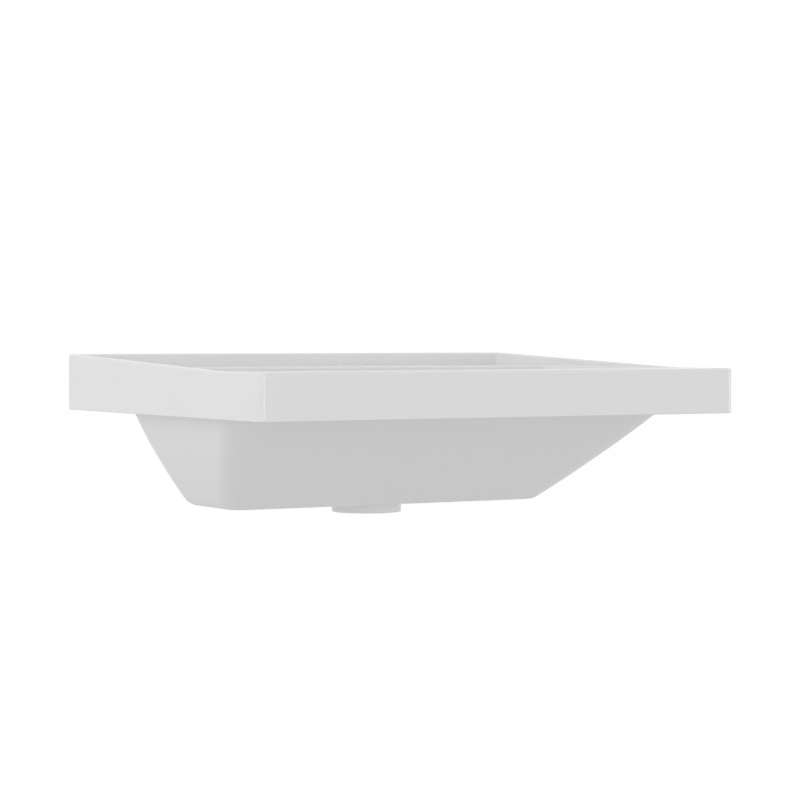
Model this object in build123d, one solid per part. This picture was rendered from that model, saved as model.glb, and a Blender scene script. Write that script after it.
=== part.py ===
from build123d import *
import math
import os

# Cabinet-top laundry basin, cast in one piece, with its overflow, outlet and plug.
# X runs along the front, +Y points at the wall behind, +Z is up. All sizes are millimetres.
# The origin is the centre of the seat, the underside of the skirt that stands on the cabinet.

# Outside of the casting
basin_width = 600.0
basin_depth = 500.0
deck_height = 50.5            # front edge and tap deck above the seat
back_height = 65.7            # back border above the seat
level_run = 107.0             # the side borders start to rise this far behind the front
front_corner = 12.0
back_corner = 3.0
top_edge = 3.0
seat_edge = 1.0
skirt_wall = 10.0
deck_wall = 12.0

# Raised border at the sides and back of the deck
side_border = 8.0
back_border = 12.0
border_corner = 6.0
border_edge = 2.0

# Bowl, as insets of its inner faces from the outside of the casting
floor_drop = 98.5             # bowl floor below the seat
side_rim, side_seat, side_floor = 13.0, 32.4, 96.8
front_rim, front_seat, front_floor = 44.0, 111.9, 259.2
back_face = 143.0             # the back wall is upright
corner_rim, corner_seat, corner_floor = 14.0, 22.8, 17.0
bowl_wall = 10.0
floor_wall = 10.0
back_wall = 24.0              # thicker, because the overflow runs down inside it
opening_edge = 2.5
floor_edge = 6.0
underside_edge = 22.0

# Outlet boss under the floor
outlet_from_back = 184.6
boss_radius = 41.0
boss_drop = 11.0
boss_edge = 1.5

# Tap hole in the deck
tap_from_back = 60.0
tap_radius = 17.5

# Overflow: a round hole in the back wall and a flat channel cast inside the wall
overflow_level = 24.0
overflow_radius = 12.0
channel_width = 44.0
channel_gap = 5.0
channel_cover = 4.0           # wall between the channel and the bowl where it reaches the floor
channel_turn_back = 1.0       # the channel turns under the floor this far behind the bowl's back wall
channel_turn_drop = 1.5       # and this far below the floor
cover_lap = 3.5               # cover beyond the hole
cover_wall = 2.7              # of the spigot
cover_thick = 2.2
cover_spigot = 7.0
cover_gap = 0.3               # spigot to the hole
cover_edge = 0.7
cover_gasket = 0.8

# Fixing pads under the deck, each with a cast-in insert
pad_radius = 12.0
pad_length = 28.0
pad_side = 70.0               # pad centre to the side of the basin
pad_back = 40.0               # rear pads to the back of the basin
pad_from_skirt = 14.0         # front pads to the skirt's inner face
insert_radius = 6.0
insert_length = 15.0
insert_thread = 3.4           # bore of an M8 thread
insert_groove = 0.8

# Threaded sleeve cast into the boss
sleeve_radius = 27.0
sleeve_lock = 1.5             # depth of the ring groove that keys it in the casting
pipe_thread = 19.475          # bore of a G 1 1/4 thread
tail_length = 9.5             # flange tail below its lip
pipe_chamfer = 1.0

# Outlet flange, gasket and strainer
recess_depth = 3.5
gasket_thick = 1.5
gasket_gap = 0.3
lip_radius = 30.5
lip_gap = 1.5                 # lip to the recess in the floor
lip_thick = 1.2
lip_edge = 0.5
tail_radius = 20.25
tail_wall = 1.75
thread_gap = 0.05
strainer_drop = 6.0           # top of the strainer below the lip's top
strainer_thick = 1.0
strainer_gap = 0.2
spider_thick = 3.0
spider_hub = 5.0
spider_arm = 3.0
slot_width = 8.0
slot_land = 1.5               # tail left above and below the slots, together
hole_ring_in = 7.8
hole_ring_out = 13.6
hole_radius = 1.8
screw_radius = 2.45
screw_gap = 0.05
screw_head = 4.2
screw_head_height = 1.6
screw_slot = 1.0

# Plug
plug_radius = 24.5
plug_disc = 2.2
plug_body_gap = 0.7           # body to the flange tail
plug_taper = 0.6
plug_body_length = 3.7
plug_gap = 0.2                # plug above its seat when it is in
plug_edge = 0.8
cap_radius = 13.0
cap_thick = 1.2
stem_radius = 3.0
stem_gap = 0.05
rivet_radius = 6.0
rivet_thick = 0.8
eye_height = 2.6
eye_thick = 2.0
ring_radius = 10.0
ring_wire = 0.9
ring_gap = 0.3

# Worked out from the sizes above
back_plane = basin_depth / 2
floor_level = -floor_drop
bowl_bottom = floor_level - floor_wall
boss_bottom = bowl_bottom - boss_drop
outlet_y = back_plane - outlet_from_back
tap_y = back_plane - tap_from_back
bowl_back_y = back_plane - back_face
deck_underside = deck_height - deck_wall
rise_angle = math.degrees(math.atan2(back_height - deck_height, basin_depth - level_run))
rise_start_y = level_run - basin_depth / 2
recess_floor = floor_level - recess_depth
recess_radius = lip_radius + lip_gap
lip_bottom = recess_floor + gasket_thick
lip_top = lip_bottom + lip_thick
tail_bottom = lip_bottom - tail_length
strainer_top = lip_top - strainer_drop
strainer_bottom = strainer_top - strainer_thick
spider_bottom = strainer_bottom - spider_thick
channel_level = (strainer_bottom + tail_bottom) / 2
plug_body = tail_radius - tail_wall - plug_body_gap
plug_bottom = lip_top + plug_gap - plug_body_length
plug_top = lip_top + plug_gap + plug_disc
cap_top = plug_top + cap_thick
eye_level = cap_top + eye_height
ring_tilt = math.degrees(math.atan2(eye_height - ring_wire - ring_gap, cap_radius + ring_wire))
cover_radius = overflow_radius + cover_lap
cover_hole = overflow_radius - cover_gap - cover_wall
pad_x = basin_width / 2 - pad_side
pad_back_y = back_plane - pad_back
pad_front_y = -basin_depth / 2 + skirt_wall + pad_from_skirt
pad_bottom = deck_underside - pad_length

os.makedirs("parts", exist_ok=True)


def write(node, shape):
    shape.label = node
    export_step(shape, f"parts/{node}.step")


def wall_inset(rim, seat, floor, level):
    # Inset and slope of an inner wall, upright at the rim and leaning in ever more below it.
    depth = max(deck_height - level, 0.01)
    power = math.log((floor - rim) / (seat - rim)) / math.log((deck_height + floor_drop) / deck_height)
    lean = (seat - rim) * (depth / deck_height) ** power
    return rim + lean, power * lean / depth


def corner_size(level):
    # Corner radius of the inner face, largest at the seat's level.
    share = level / deck_height if level > 0 else -level / floor_drop
    end = corner_rim if level > 0 else corner_floor
    return corner_seat + (end - corner_seat) * share


def plan_at(level, side, front, back, radius):
    width = basin_width - 2 * side
    depth = basin_depth - front - back
    return Pos(0, (front - back) / 2, level) * RectangleRounded(width, depth, radius)


def inner_plan(level):
    side, _ = wall_inset(side_rim, side_seat, side_floor, level)
    front, _ = wall_inset(front_rim, front_seat, front_floor, level)
    return plan_at(level, side, front, back_face, corner_size(level))


def outer_plan(level):
    side, side_slope = wall_inset(side_rim, side_seat, side_floor, level)
    front, front_slope = wall_inset(front_rim, front_seat, front_floor, level)
    side -= bowl_wall * math.hypot(1, side_slope)
    front -= bowl_wall * math.hypot(1, front_slope)
    return plan_at(level, side, front, back_face - back_wall, corner_size(level) + bowl_wall)


def levels(top, bottom, steps):
    return [top + (bottom - top) * i / steps for i in range(steps + 1)]


def turned(points):
    # Solid of revolution about Z from radius and height pairs.
    return revolve(Plane.XZ * make_face(Polyline(*points, close=True)), Axis.Z)


def standing(radius, height):
    # Cylinder on the level it is placed at.
    return Cylinder(radius, height, align=(Align.CENTER, Align.CENTER, Align.MIN))


def side_profile(points, width):
    # Prism along X from depth and height pairs, as wide as stated and centred.
    face = Plane.YZ * make_face(Polyline(*points, close=True))
    return extrude(face, amount=width / 2, both=True)


def outer_block():
    # Skirt and borders as one solid: the plan, cut to the side view's level and rising top.
    plan = Rectangle(basin_width, basin_depth)
    plan = fillet(plan.vertices().group_by(Axis.Y)[0], front_corner)
    plan = fillet(plan.vertices().group_by(Axis.Y)[-1], back_corner)
    front_y = -basin_depth / 2
    outline = [
        (front_y, 0), (front_y, deck_height), (rise_start_y, deck_height),
        (back_plane, back_height), (back_plane, 0),
    ]
    block = extrude(plan, amount=back_height + top_edge) & side_profile(outline, basin_width)
    block = fillet(block.edges().filter_by(lambda e: e.center().Z > deck_height - 1), top_edge)
    return fillet(block.edges().group_by(Axis.Z)[0], seat_edge)


def border_pocket():
    # Space inside the raised border, drawn along the rising top so that the border's inner edge
    # can be rounded all along, then cut off at the deck.
    width = basin_width - 2 * side_border
    end = (basin_depth - level_run - back_border) / math.cos(math.radians(rise_angle))
    start = -4 * border_corner
    length, middle = end - start, (end + start) / 2
    flare = border_edge + 0.5
    box = extrude(RectangleRounded(width, length, border_corner), -back_height)
    lid = RectangleRounded(width + 2 * flare, length + 2 * flare, border_corner + flare)
    lid = extrude(lid, back_height)
    tool = box + lid
    tool = fillet(
        tool.edges().filter_by(
            lambda e: abs(e.center().Z) < 0.01
            and abs(e.center().X) < width / 2 + 0.01
            and abs(e.center().Y) < length / 2 + 0.01
        ),
        border_edge,
    )
    rise = Location((0, rise_start_y, deck_height), (rise_angle, 0, 0)) * Pos(0, middle, 0)
    above = Pos(0, 0, deck_height + back_height) * Box(2 * basin_width, 2 * basin_depth, 2 * back_height)
    return rise * tool & above


def overflow_channel():
    # Flat channel down inside the back wall and forward under the floor to the outlet sleeve.
    points = [
        (bowl_back_y + back_wall / 2, overflow_level + overflow_radius),
        (bowl_back_y + channel_cover + channel_gap, floor_level + floor_edge),
        (bowl_back_y + channel_turn_back, floor_level - channel_turn_drop),
        (outlet_y + sleeve_radius + channel_gap / 2, channel_level),
        (outlet_y + tail_radius, channel_level),
    ]
    face = Sketch()
    for (y0, z0), (y1, z1) in zip(points, points[1:]):
        run = math.hypot(y1 - y0, z1 - z0)
        turn = math.degrees(math.atan2(z1 - z0, y1 - y0))
        face += Pos((y0 + y1) / 2, (z0 + z1) / 2) * Rot(0, 0, turn) * SlotCenterToCenter(run, channel_gap)
    return extrude(Plane.YZ * face, amount=channel_width / 2, both=True)


def sleeve_outside():
    length = recess_floor - boss_bottom
    lock_top, lock_bottom = recess_floor - 0.55 * length, recess_floor - 0.8 * length
    return turned([
        (0, recess_floor), (sleeve_radius, recess_floor),
        (sleeve_radius, lock_top), (sleeve_radius - sleeve_lock, lock_top),
        (sleeve_radius - sleeve_lock, lock_bottom), (sleeve_radius, lock_bottom),
        (sleeve_radius, boss_bottom), (0, boss_bottom),
    ])


def pad_places():
    return [Pos(x, y, pad_bottom) for x in (-pad_x, pad_x) for y in (pad_front_y, pad_back_y)]


def insert_outside():
    groove_top, groove_bottom = 0.6 * insert_length, 0.4 * insert_length
    return turned([
        (0, 0), (insert_radius, 0),
        (insert_radius, groove_bottom), (insert_radius - insert_groove, groove_bottom),
        (insert_radius - insert_groove, groove_top), (insert_radius, groove_top),
        (insert_radius, insert_length), (0, insert_length),
    ])


def basin():
    block = outer_block()
    inside = Rectangle(basin_width - 2 * skirt_wall, basin_depth - 2 * skirt_wall)
    inside = fillet(inside.vertices(), max(front_corner - skirt_wall, 0) + 3)
    block -= extrude(inside, amount=deck_underside)
    block -= border_pocket()

    shell = loft([outer_plan(z) for z in levels(deck_height - deck_wall / 2, bowl_bottom, 7)])
    shell = fillet(shell.faces().sort_by(Axis.Z)[0].edges(), underside_edge)
    boss = Pos(0, outlet_y, boss_bottom) * standing(boss_radius, floor_wall + boss_drop)
    boss = fillet(boss.edges().group_by(Axis.Z)[0], boss_edge)
    body = block + shell + boss
    pad = standing(pad_radius, pad_length) - insert_outside()
    for place in pad_places():
        body += place * pad

    space = loft([inner_plan(z) for z in levels(deck_height, floor_level, 8)])
    space = fillet(space.faces().sort_by(Axis.Z)[0].edges(), floor_edge)
    body -= space
    rim = body.edges().filter_by(
        lambda e: abs(e.center().Z - deck_height) < 0.01
        and abs(e.center().X) < basin_width / 2 - side_rim + 0.5
        and front_rim - 0.5 < e.center().Y + basin_depth / 2 < basin_depth - back_face + 0.5
    )
    body = fillet(rim, opening_edge)

    body -= Pos(0, tap_y, deck_height) * Cylinder(tap_radius, 4 * deck_wall)
    body -= Pos(0, outlet_y, recess_floor) * standing(recess_radius, 4 * recess_depth)
    hole = Pos(0, bowl_back_y, overflow_level) * Rot(90, 0, 0) * Cylinder(overflow_radius, back_wall)
    return body - (overflow_channel() + hole + Pos(0, outlet_y, 0) * sleeve_outside())


def fixing_inserts():
    one = insert_outside() - Cylinder(insert_thread, 3 * insert_length)
    return Compound(children=[place * one for place in pad_places()])


def outlet_sleeve():
    tail_bore = tail_radius + thread_gap
    step = tail_bottom - thread_gap
    bore = turned([
        (0, recess_floor + 1), (tail_bore, recess_floor + 1),
        (tail_bore, step), (pipe_thread, step),
        (pipe_thread, boss_bottom + pipe_chamfer), (pipe_thread + pipe_chamfer, boss_bottom),
        (pipe_thread + pipe_chamfer, boss_bottom - 1), (0, boss_bottom - 1),
    ])
    gallery_radius = (sleeve_radius + tail_radius) / 2
    gallery = Pos(0, 0, channel_level) * Cylinder(gallery_radius, strainer_bottom - tail_bottom)
    return Pos(0, outlet_y, 0) * (sleeve_outside() - bore - gallery) - overflow_channel()


def outlet_gasket():
    return Pos(0, outlet_y, 0) * turned([
        (tail_radius + gasket_gap, recess_floor), (lip_radius - gasket_gap, recess_floor),
        (lip_radius - gasket_gap, lip_bottom), (tail_radius + gasket_gap, lip_bottom),
    ])


def outlet_flange():
    # Pressed lip with a threaded tail. Three arms inside the tail carry the strainer and its screw.
    tail_bore = tail_radius - tail_wall
    flange = turned([
        (tail_bore, lip_top), (lip_radius, lip_top), (lip_radius, lip_bottom),
        (tail_radius, lip_bottom), (tail_radius, tail_bottom), (tail_bore, tail_bottom),
    ])
    top = flange.edges().filter_by(lambda e: abs(e.center().Z - lip_top) < 0.01)
    flange = fillet(top, lip_edge)
    middle = strainer_bottom - spider_thick / 2
    arm_length = tail_radius - tail_wall / 2
    slot_height = strainer_bottom - tail_bottom - slot_land
    flange += Pos(0, 0, middle) * Cylinder(spider_hub, spider_thick)
    for turn in (30, 150, 270):
        arm = Pos(arm_length / 2, 0, middle) * Box(arm_length, spider_arm, spider_thick)
        slot = Pos(tail_radius, 0, channel_level) * Box(4 * tail_wall, slot_width, slot_height)
        flange += Rot(0, 0, turn) * arm
        flange -= Rot(0, 0, turn + 60) * slot
    flange -= Pos(0, 0, middle) * Cylinder(screw_radius + screw_gap, 2 * spider_thick)
    return Pos(0, outlet_y, 0) * flange


def strainer():
    plate = Cylinder(tail_radius - tail_wall - strainer_gap, strainer_thick)
    plate = fillet(plate.edges(), strainer_thick / 4)
    plate -= Cylinder(screw_radius + screw_gap, 2 * strainer_thick)
    for ring, count in ((hole_ring_in, 6), (hole_ring_out, 12)):
        for place in PolarLocations(ring, count):
            plate -= place * Cylinder(hole_radius, 2 * strainer_thick)
    return Pos(0, outlet_y, strainer_top - strainer_thick / 2) * plate


def strainer_screw():
    head = turned([(0, 0), (screw_head, 0), (screw_head, screw_head_height), (0, screw_head_height)])
    head = fillet(head.edges().group_by(Axis.Z)[-1], screw_head_height / 2)
    head -= Pos(0, 0, screw_head_height) * Box(3 * screw_head, screw_slot, screw_head_height)
    length = strainer_top - spider_bottom
    shank = Pos(0, 0, -length / 2) * Cylinder(screw_radius, length)
    return Pos(0, outlet_y, strainer_top) * (head + shank)


def plug_rubber():
    seat = lip_top + plug_gap
    body = turned([
        (stem_radius + stem_gap, plug_top), (plug_radius, plug_top),
        (plug_radius, seat), (plug_body, seat),
        (plug_body - plug_taper, plug_bottom), (rivet_radius + stem_gap, plug_bottom),
        (rivet_radius + stem_gap, plug_bottom + rivet_thick),
        (stem_radius + stem_gap, plug_bottom + rivet_thick),
    ])
    rim = body.edges().filter_by(lambda e: e.length > 2 * math.pi * (plug_radius - 0.1))
    return Pos(0, outlet_y, 0) * fillet(rim, plug_edge)


def plug_core():
    # Cap, stem and riveted end in one, with an upright eye on top for the pull ring.
    core = turned([
        (0, cap_top), (cap_radius, cap_top), (cap_radius, plug_top), (stem_radius, plug_top),
        (stem_radius, plug_bottom + rivet_thick), (rivet_radius, plug_bottom + rivet_thick),
        (rivet_radius, plug_bottom), (0, plug_bottom),
    ])
    core = fillet(core.edges().group_by(Axis.Z)[-1], cap_thick * 0.6)
    eye = Circle(eye_height) + Pos(0, -eye_height / 2) * Rectangle(2 * eye_height, eye_height)
    eye -= Circle(ring_wire + ring_gap)
    core += Pos(0, 0, eye_level) * extrude(Plane.YZ * eye, amount=eye_thick / 2, both=True)
    return Pos(0, outlet_y, 0) * core


def plug_ring():
    # Lies on the cap towards the front, through the eye.
    ring = Pos(0, -ring_radius, 0) * Torus(ring_radius, ring_wire)
    return Pos(0, outlet_y, eye_level) * Rot(ring_tilt, 0, 0) * ring


def on_back_wall(shape):
    # Turns a part drawn with its face up so that it looks out of the overflow hole into the bowl.
    return Pos(0, bowl_back_y, overflow_level) * Rot(90, 0, 0) * shape


def overflow_gasket():
    return on_back_wall(turned([
        (overflow_radius, 0), (cover_radius - cover_edge, 0),
        (cover_radius - cover_edge, cover_gasket), (overflow_radius, cover_gasket),
    ]))


def overflow_cover():
    spigot = overflow_radius - cover_gap
    ring = turned([
        (cover_hole, -cover_spigot), (spigot, -cover_spigot),
        (spigot, cover_gasket), (cover_radius, cover_gasket),
        (cover_radius, cover_gasket + cover_thick), (cover_hole, cover_gasket + cover_thick),
    ])
    return on_back_wall(fillet(ring.edges().group_by(Axis.Z)[-1], cover_edge))


write("basin", basin())
write("fixing_inserts", fixing_inserts())
write("outlet_sleeve", outlet_sleeve())
write("outlet_gasket", outlet_gasket())
write("outlet_flange", outlet_flange())
write("strainer", strainer())
write("strainer_screw", strainer_screw())
write("plug_rubber", plug_rubber())
write("plug_core", plug_core())
write("plug_ring", plug_ring())
write("overflow_gasket", overflow_gasket())
write("overflow_cover", overflow_cover())
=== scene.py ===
import bpy
import math
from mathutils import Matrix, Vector


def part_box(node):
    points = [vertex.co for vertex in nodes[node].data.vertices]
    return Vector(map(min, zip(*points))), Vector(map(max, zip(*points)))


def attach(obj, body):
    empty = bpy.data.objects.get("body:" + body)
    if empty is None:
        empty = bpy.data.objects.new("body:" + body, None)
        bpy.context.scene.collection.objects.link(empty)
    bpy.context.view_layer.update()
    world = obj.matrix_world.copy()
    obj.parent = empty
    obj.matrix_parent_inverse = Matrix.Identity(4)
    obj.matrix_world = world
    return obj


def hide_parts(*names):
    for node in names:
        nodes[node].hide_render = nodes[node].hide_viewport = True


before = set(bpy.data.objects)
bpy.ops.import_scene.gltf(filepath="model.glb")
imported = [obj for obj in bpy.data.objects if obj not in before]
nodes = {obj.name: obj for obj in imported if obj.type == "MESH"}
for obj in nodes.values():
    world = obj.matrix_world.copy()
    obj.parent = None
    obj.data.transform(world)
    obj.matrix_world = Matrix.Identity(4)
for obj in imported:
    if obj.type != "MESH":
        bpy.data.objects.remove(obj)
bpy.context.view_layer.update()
print("frame loaded:", len(nodes), "nodes")


def toLinear(hexColour):
    parts = [int(hexColour[i:i + 2], 16) / 255 for i in (1, 3, 5)]
    return [c / 12.92 if c <= 0.04045 else ((c + 0.055) / 1.055) ** 2.4 for c in parts] + [1]


def perMm(sizeMm):
    # texture scale at which one feature is sizeMm long, in object coordinates of metres
    return 1000 / sizeMm


def addNode(tree, kind, settings=None, links=None):
    node = tree.nodes.new(kind)
    for name, value in (settings or {}).items():
        if isinstance(name, str) and hasattr(node, name):
            setattr(node, name, value)
        else:
            node.inputs[name].default_value = value
    for name, source in (links or {}).items():
        tree.links.new(source, node.inputs[name])
    return node


def newMaterial(name):
    material = bpy.data.materials.new(name)
    material.use_nodes = True
    tree = material.node_tree
    return material, tree, addNode(tree, "ShaderNodeTexCoord")


def giveMaterial(material, *names):
    for name in names:
        piece = nodes[name] if isinstance(name, str) else name
        if not piece.material_slots:
            piece.data.materials.append(material)
        for materialSlot in piece.material_slots:
            materialSlot.link = "OBJECT"
            materialSlot.material = material


def shade(material, settings, links=None):
    # settings and links on the material's main shader
    tree = material.node_tree
    shader = tree.nodes["Principled BSDF"]
    for name, value in settings.items():
        shader.inputs[name].default_value = value
    for name, source in (links or {}).items():
        tree.links.new(source, shader.inputs[name])


def noise(tree, place, sizeMm, detail):
    return addNode(tree, "ShaderNodeTexNoise", {"Scale": perMm(sizeMm), "Detail": detail},
                   {"Vector": place}).outputs["Fac"]


noiseRange = (0.3, 0.7)     # where nearly all of a noise pattern's values lie


def between(tree, amount, low, high):
    # a number that runs from low to high as the pattern goes from dark to light
    settings = {"From Min": noiseRange[0], "From Max": noiseRange[1], "To Min": low, "To Max": high}
    return addNode(tree, "ShaderNodeMapRange", settings, {"Value": amount}).outputs[0]


def blend(tree, amount, low, high):
    # two colours, each a hex string or another node's output
    settings = {"data_type": "RGBA"}
    links = {0: amount}
    for slot, colour in ((6, low), (7, high)):
        if isinstance(colour, str):
            settings[slot] = toLinear(colour)
        else:
            links[slot] = colour
    return addNode(tree, "ShaderNodeMix", settings, links).outputs[2]


def bump(tree, height, depthMm):
    return addNode(tree, "ShaderNodeBump", {"Distance": depthMm / 1000}, {"Height": height}).outputs[0]


# Cast mineral marble with a sprayed gelcoat: deep white gloss with a faint orange peel on the show
# side, and a duller sprayed back with a little of the filler's grain on everything that faces down.
gelcoat = {
    "white": "#F0F0F0",
    "shade": "#ECECEC",
    "back": "#EFEFEF",
    "backGrain": "#E7E7E6",
    "cloudMm": 90,          # slow drift of tone over the casting
    "peelMm": 3.2,
    "peelDepthMm": 0.0016,
    "grainMm": 1.4,
    "grainDepthMm": 0.05,
    "rough": (0.09, 0.16),
    "backRough": (0.42, 0.58),
    "ior": 1.5,
    "facing": (-0.3, -0.6),     # how far down a face looks before it counts as the back
}


def makeGelcoat():
    material, tree, coords = newMaterial("sprayedGelcoat")
    place = coords.outputs["Object"]
    cloud = noise(tree, place, gelcoat["cloudMm"], 3.0)
    peel = noise(tree, place, gelcoat["peelMm"], 1.0)
    grain = noise(tree, place, gelcoat["grainMm"], 4.0)
    normal = addNode(tree, "ShaderNodeSeparateXYZ", {}, {"Vector": coords.outputs["Normal"]})
    back = addNode(tree, "ShaderNodeMapRange",
                   {"From Min": gelcoat["facing"][0], "From Max": gelcoat["facing"][1]},
                   {"Value": normal.outputs["Z"]}).outputs[0]

    showColour = blend(tree, cloud, gelcoat["white"], gelcoat["shade"])
    backColour = blend(tree, grain, gelcoat["back"], gelcoat["backGrain"])
    rough = addNode(tree, "ShaderNodeMix", {}, {
        0: back,
        2: between(tree, cloud, *gelcoat["rough"]),
        3: between(tree, grain, *gelcoat["backRough"]),
    })
    fullDepth = gelcoat["grainDepthMm"] / 1000
    grainDepth = addNode(tree, "ShaderNodeMath", {"operation": "MULTIPLY", 1: fullDepth}, {0: back})
    surface = addNode(tree, "ShaderNodeBump", {}, {
        "Height": grain,
        "Distance": grainDepth.outputs[0],
        "Normal": bump(tree, peel, gelcoat["peelDepthMm"]),
    })
    shade(material, {"IOR": gelcoat["ior"]}, {
        "Base Color": blend(tree, back, showColour, backColour),
        "Roughness": rough.outputs[0],
        "Normal": surface.outputs[0],
    })
    return material


giveMaterial(makeGelcoat(), "basin")
print("basin finished")


def ringCoords(tree, coords, centre, axis="Z"):
    # radius from a Z or Y axis through centre, and the height along it, both in metres
    across = (1, 1, 0) if axis == "Z" else (1, 0, 1)
    moved = addNode(tree, "ShaderNodeVectorMath", {"operation": "SUBTRACT", 1: centre},
                    {0: coords.outputs["Object"]})
    flat = addNode(tree, "ShaderNodeVectorMath", {"operation": "MULTIPLY", 1: across}, {0: moved.outputs[0]})
    radius = addNode(tree, "ShaderNodeVectorMath", {"operation": "LENGTH"}, {0: flat.outputs[0]})
    along = addNode(tree, "ShaderNodeSeparateXYZ", {}, {"Vector": moved.outputs[0]})
    return radius.outputs["Value"], along.outputs[axis]


def turnedMarks(tree, radius, along, markMm):
    # fine rings left by a lathe or a polishing wheel, as a noise of radius and height alone
    point = addNode(tree, "ShaderNodeCombineXYZ", {}, {"X": radius, "Y": along})
    return noise(tree, point.outputs[0], markMm, 3.0)


# Drawn and trimmed stainless steel, brushed round its axis: grey metal with fine rings that stretch
# the highlight, and slightly darker where water has dried.
steel = {
    "clean": "#C9C9C7",
    "dull": "#BDBDBA",
    "markMm": 0.6,          # coarser than the real brushing, so that it shows
    "markDepthMm": 0.0015,
    "spotMm": 14,
    "rough": (0.22, 0.32),
}

# Turned brass, left as machined: warm yellow with tool rings, browner where it has tarnished.
brass = {
    "clean": "#C8AC6E",
    "dull": "#B79A60",
    "markMm": 0.5,
    "markDepthMm": 0.004,
    "spotMm": 5,
    "rough": (0.24, 0.42),
}

# Bright chrome plate over brass: a cool mirror with faint wiping marks and a little lime haze.
chrome = {
    "clean": "#D6D7D9",
    "dull": "#C6C7C9",
    "markMm": 0.6,
    "markDepthMm": 0.0006,
    "spotMm": 12,
    "rough": (0.05, 0.13),
}


def makeMetal(name, metal, centre, axis="Z"):
    material, tree, coords = newMaterial(name)
    radius, along = ringCoords(tree, coords, centre, axis)
    marks = turnedMarks(tree, radius, along, metal["markMm"])
    spots = noise(tree, coords.outputs["Object"], metal["spotMm"], 4.0)
    shade(material, {"Metallic": 1.0}, {
        "Base Color": blend(tree, between(tree, spots, 0, 1), metal["clean"], metal["dull"]),
        "Roughness": between(tree, spots, *metal["rough"]),
        "Normal": bump(tree, marks, metal["markDepthMm"]),
    })
    return material


# Moulded rubber: matt black with the mould's fine texture and a greyer bloom on its surface.
seal = {
    "dark": "#1B1B1C",
    "bloom": "#2A2A2B",
    "grainMm": 0.7,
    "grainDepthMm": 0.02,
    "bloomMm": 6,
    "rough": (0.55, 0.75),
    "ior": 1.52,
}

# The plug's rubber has the same mix but a smoother mould, and rubs to a dull sheen.
plugRubber = {
    "dark": "#202021",
    "bloom": "#303031",
    "grainMm": 0.9,
    "grainDepthMm": 0.008,
    "bloomMm": 11,
    "rough": (0.40, 0.58),
    "ior": 1.52,
}


def makeRubber(name, rubber):
    material, tree, coords = newMaterial(name)
    place = coords.outputs["Object"]
    bloom = between(tree, noise(tree, place, rubber["bloomMm"], 3.0), 0, 1)
    shade(material, {"IOR": rubber["ior"]}, {
        "Base Color": blend(tree, bloom, rubber["dark"], rubber["bloom"]),
        "Roughness": between(tree, bloom, *rubber["rough"]),
        "Normal": bump(tree, noise(tree, place, rubber["grainMm"], 2.0), rubber["grainDepthMm"]),
    })
    return material


def middleOf(name):
    # centre of a CAD node's box, in metres
    corners = [nodes[name].matrix_world @ Vector(c) for c in nodes[name].bound_box]
    return Vector([(min(c[i] for c in corners) + max(c[i] for c in corners)) / 2 for i in range(3)])


# Internal threads as real grooves, each cut outwards from the bore of its solid in the frame
boltThread = {
    "pitchMm": 1.25,
    "depthMm": 0.6,
    "boreMm": 3.4,
    "steps": 48,            # mesh steps round the bore
    "perPitch": 10,         # mesh steps along each pitch
}
pipeThread = {
    "pitchMm": 2.309,
    "depthMm": 1.2,         # a little less than the standard thread's
    "boreMm": 19.475,
    "steps": 144,
    "perPitch": 12,
}


threadShape = 1.1       # 1 is a sharp V, more rounds its crests


def threadRadius(thread, turn, height, low, high):
    # bore radius in mm at a turn of 0 to 1 and a height: a right-hand V that fades out at both ends
    phase = (height / thread["pitchMm"] - turn) % 1
    fade = min(1, (height - low) / thread["pitchMm"], (high - height) / thread["pitchMm"])
    return thread["boreMm"] + max(fade, 0) * thread["depthMm"] * (1 - abs(2 * phase - 1)) ** threadShape


def threadedTube(name, thread, outside, low, high, places):
    # outside: radius and height pairs in mm from the bottom of the bore round to its top
    count = math.ceil((high - low) / thread["pitchMm"] * thread["perPitch"])
    heights = [high + (low - high) * i / count for i in range(count + 1)]
    steps, verts, faces = thread["steps"], [], []
    rows = len(outside) + len(heights)
    for place in places:
        base = len(verts)
        for step in range(steps):
            angle = 2 * math.pi * step / steps
            bore = [(threadRadius(thread, step / steps, z, low, high), z) for z in heights]
            profile = outside + bore
            for radius, z in profile:
                offset = Vector((math.cos(angle) * radius, math.sin(angle) * radius, z)) / 1000
                verts.append(Vector(place) + offset)
        for step in range(steps):
            here, there = base + step * rows, base + (step + 1) % steps * rows
            for row in range(rows):
                after = (row + 1) % rows
                faces.append((here + row, there + row, there + after, here + after))
    mesh = bpy.data.meshes.new(name)
    mesh.from_pydata(verts, [], faces)
    piece = bpy.data.objects.new(name, mesh)
    bpy.context.scene.collection.objects.link(piece)
    return piece


# Fixing inserts: a short tube with a keying groove round its middle, the same four as in the frame
insert = {
    "radiusMm": 6.0,
    "lengthMm": 15.0,
    "grooveMm": 0.8,
    "grooveFrom": 0.4,      # shares of the length
    "grooveTo": 0.6,
}


def makeInserts():
    low, high = [Vector(c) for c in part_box("fixing_inserts")]
    radius, length = insert["radiusMm"], insert["lengthMm"]
    inner = radius - insert["grooveMm"]
    grooveLow, grooveHigh = insert["grooveFrom"] * length, insert["grooveTo"] * length
    outside = [
        (radius, 0), (radius, grooveLow), (inner, grooveLow),
        (inner, grooveHigh), (radius, grooveHigh), (radius, length),
    ]
    inset = radius / 1000
    places = [
        (x, y, low.z)
        for x in (low.x + inset, high.x - inset)
        for y in (low.y + inset, high.y - inset)
    ]
    piece = threadedTube("threadedInserts", boltThread, outside, 0, length, places)
    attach(piece, "basin_body")
    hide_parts("fixing_inserts")
    return piece


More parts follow.
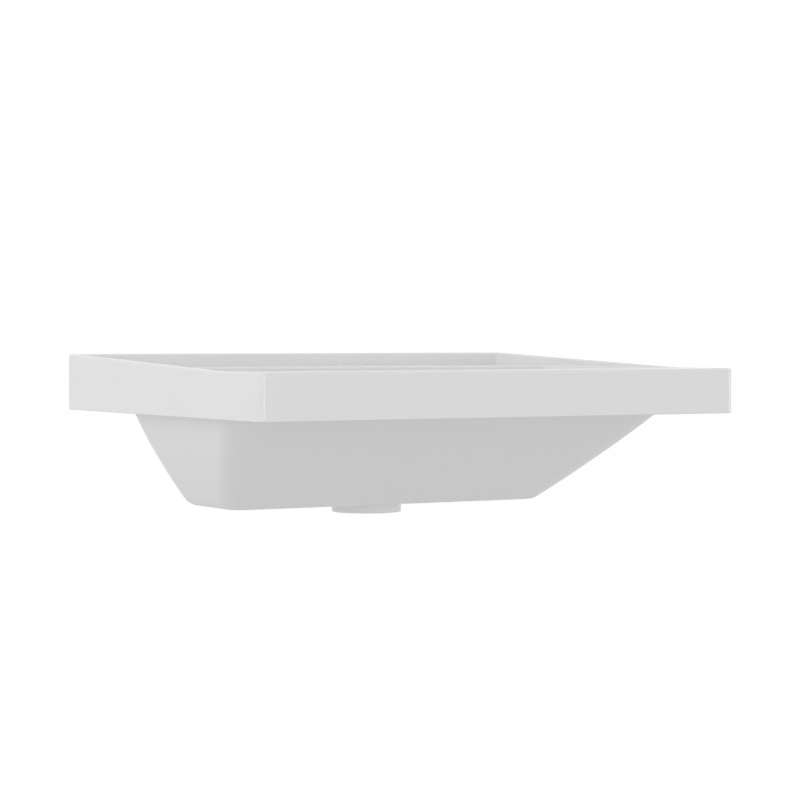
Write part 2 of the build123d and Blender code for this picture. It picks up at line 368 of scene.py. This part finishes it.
# Outlet sleeve: threaded below for the waste, with a ring groove that keys it in the casting, an
# inner gallery round the flange's tail, and an opening at the back where the overflow comes in
sleeve = {
    "radiusMm": 27.0,
    "lockMm": 1.5,
    "lockFrom": 0.55,       # shares of the length, from the top
    "lockTo": 0.8,
    "tailBoreMm": 20.3,
    "galleryMm": 23.625,
    "stepMm": 0.05,         # bore's step below the flange's tail
    "chamferMm": 1.0,
    "channelMm": (44.0, 5.0),       # width and height of the opening
    "channelStartMm": 18.0,         # from the axis
    "channelEndMm": 32.4,
}


def cutAway(piece, low, high):
    # takes a box out of a closed mesh
    ends = list(zip(low, high))
    corners = [(x, y, z) for x in ends[0] for y in ends[1] for z in ends[2]]
    sides = [(0, 1, 3, 2), (4, 6, 7, 5), (0, 4, 5, 1), (2, 3, 7, 6), (0, 2, 6, 4), (1, 5, 7, 3)]
    mesh = bpy.data.meshes.new("cutter")
    mesh.from_pydata(corners, [], sides)
    cutter = bpy.data.objects.new("cutter", mesh)
    bpy.context.scene.collection.objects.link(cutter)
    cut = piece.modifiers.new("cut", "BOOLEAN")
    cut.operation = "DIFFERENCE"
    cut.solver = "EXACT"
    cut.object = cutter
    bpy.context.view_layer.update()
    solved = piece.evaluated_get(bpy.context.evaluated_depsgraph_get())
    result = bpy.data.meshes.new_from_object(solved)
    piece.modifiers.remove(cut)
    piece.data = result
    bpy.data.objects.remove(cutter)


def makeSleeve():
    low, high = [Vector(c) * 1000 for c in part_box("outlet_sleeve")]
    axisY = (low.y + high.y) / 2
    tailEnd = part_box("outlet_flange")[0][2] * 1000
    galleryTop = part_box("strainer")[0][2] * 1000
    length = high.z - low.z
    radius, lock = sleeve["radiusMm"], sleeve["radiusMm"] - sleeve["lockMm"]
    lockTop, lockBottom = high.z - sleeve["lockFrom"] * length, high.z - sleeve["lockTo"] * length
    tailBore, gallery = sleeve["tailBoreMm"], sleeve["galleryMm"]
    threadTop, threadBottom = tailEnd - sleeve["stepMm"], low.z + sleeve["chamferMm"]
    outside = [
        (pipeThread["boreMm"] + sleeve["chamferMm"], low.z), (radius, low.z),
        (radius, lockBottom), (lock, lockBottom), (lock, lockTop), (radius, lockTop),
        (radius, high.z), (tailBore, high.z), (tailBore, galleryTop),
        (gallery, galleryTop), (gallery, tailEnd), (tailBore, tailEnd), (tailBore, threadTop),
    ]
    place = (0, axisY / 1000, 0)
    piece = threadedTube("threadedSleeve", pipeThread, outside, threadBottom, threadTop, [place])
    width, height = [size / 1000 for size in sleeve["channelMm"]]
    level = (galleryTop + tailEnd) / 2000
    start, end = [(axisY + sleeve[key]) / 1000 for key in ("channelStartMm", "channelEndMm")]
    cutAway(piece, (-width / 2, start, level - height / 2), (width / 2, end, level + height / 2))
    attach(piece, "basin_body")
    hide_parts("outlet_sleeve")
    return piece


outlet = middleOf("outlet_sleeve")
overflow = middleOf("overflow_cover")
pressedSteel = makeMetal("brushedStainlessSteel", steel, outlet)
giveMaterial(pressedSteel, "outlet_flange", "strainer", "strainer_screw")
giveMaterial(makeMetal("turnedBrass", brass, outlet), makeSleeve(), makeInserts())
giveMaterial(makeMetal("chromePlateCover", chrome, overflow, "Y"), "overflow_cover")
giveMaterial(makeMetal("chromePlatePlug", chrome, outlet), "plug_core", "plug_ring")
giveMaterial(makeRubber("mouldedSealRubber", seal), "outlet_gasket", "overflow_gasket")
giveMaterial(makeRubber("mouldedPlugRubber", plugRubber), "plug_rubber")
print("outlet, overflow, plug and inserts finished")

# Studio: a pale floor well below the basin, white all round, two large soft lamps, the
# room's light, and two small lamps whose reflections edge the skirt's rounded corners
studio = {
    "floorZ": -0.52,
    "floorHalfM": 300,
    "floorColour": "#E4E4E4",
    "floorRough": 0.9,
    "floorLift": 0.41,          # makes the lit floor white to the camera and in reflections
    "roomLight": 0.70,
    "lamps": (
        ("keySoftbox", (-4.4, -0.7, 1.9), 4.0, 44),     # name, place, size in metres, watts
        ("fillSoftbox", (2.6, -4.6, 1.2), 4.0, 15),
        ("cornerGlint", (-1.25, -2.80, 0.10), 0.35, 2.6),
        ("endGlint", (2.9, -0.83, 0.20), 0.7, 5),
    ),
    "camera": (-1.3889, -2.4238, 0.0863),
    "yaw": 29.957,              # degrees, to the right of straight ahead
    "pitch": 1.504,             # degrees, downwards
    "focalPx": 2422.4,          # in pixels of the photograph
    "photoPx": 800,
    "sensorMm": 36,
    "clipM": 1000,
}


def aimedAt(item, target):
    item.rotation_euler = (Vector(target) - item.location).to_track_quat("-Z", "Y").to_euler()


def addLamp(name, place, sizeM, watts):
    light = bpy.data.lights.new(name, "AREA")
    light.size = sizeM
    light.energy = watts
    lamp = bpy.data.objects.new(name, light)
    bpy.context.scene.collection.objects.link(lamp)
    lamp.location = place
    aimedAt(lamp, (0, 0, 0))


def whiteRays(tree):
    # 1 for rays that come from the camera, a reflection or a refraction
    path = addNode(tree, "ShaderNodeLightPath").outputs
    seen = path["Is Camera Ray"]
    for kind in ("Is Glossy Ray", "Is Transmission Ray"):
        either = addNode(tree, "ShaderNodeMath", {"operation": "MAXIMUM"}, {0: seen, 1: path[kind]})
        seen = either.outputs[0]
    return seen


def makeFloor():
    half = studio["floorHalfM"]
    mesh = bpy.data.meshes.new("floor")
    outline = ((-half, -half), (half, -half), (half, half), (-half, half))
    mesh.from_pydata([(x, y, studio["floorZ"]) for x, y in outline], [], [(0, 1, 2, 3)])
    floor = bpy.data.objects.new("floor", mesh)
    bpy.context.scene.collection.objects.link(floor)
    material, tree, coords = newMaterial("paintedFloor")
    lift = addNode(tree, "ShaderNodeMath", {"operation": "MULTIPLY", 1: studio["floorLift"]},
                   {0: whiteRays(tree)})
    shade(material, {
        "Base Color": toLinear(studio["floorColour"]),
        "Roughness": studio["floorRough"],
        "Emission Color": (1, 1, 1, 1),
    }, {"Emission Strength": lift.outputs[0]})
    giveMaterial(material, floor)


def makeRoom():
    world = bpy.data.worlds.new("room")
    bpy.context.scene.world = world
    world.use_nodes = True
    tree = world.node_tree
    lit = tree.nodes["Background"]
    lit.inputs["Strength"].default_value = studio["roomLight"]
    lit.inputs["Color"].default_value = (1, 1, 1, 1)
    white = addNode(tree, "ShaderNodeBackground", {"Color": (1, 1, 1, 1), "Strength": 1.0})
    mixed = addNode(tree, "ShaderNodeMixShader", {},
                    {0: whiteRays(tree), 1: lit.outputs[0], 2: white.outputs[0]})
    tree.links.new(mixed.outputs[0], tree.nodes["World Output"].inputs["Surface"])


def addCamera():
    data = bpy.data.cameras.new("camera")
    data.sensor_width = studio["sensorMm"]
    data.lens = studio["focalPx"] * studio["sensorMm"] / studio["photoPx"]
    data.clip_end = studio["clipM"]
    camera = bpy.data.objects.new("camera", data)
    bpy.context.scene.collection.objects.link(camera)
    camera.location = studio["camera"]
    camera.rotation_euler = (math.radians(90 - studio["pitch"]), 0, -math.radians(studio["yaw"]))
    bpy.context.scene.camera = camera


makeFloor()
makeRoom()
for lamp in studio["lamps"]:
    addLamp(*lamp)
addCamera()
bpy.context.scene.view_settings.view_transform = "Standard"
print("studio set")

bpy.context.view_layer.update()
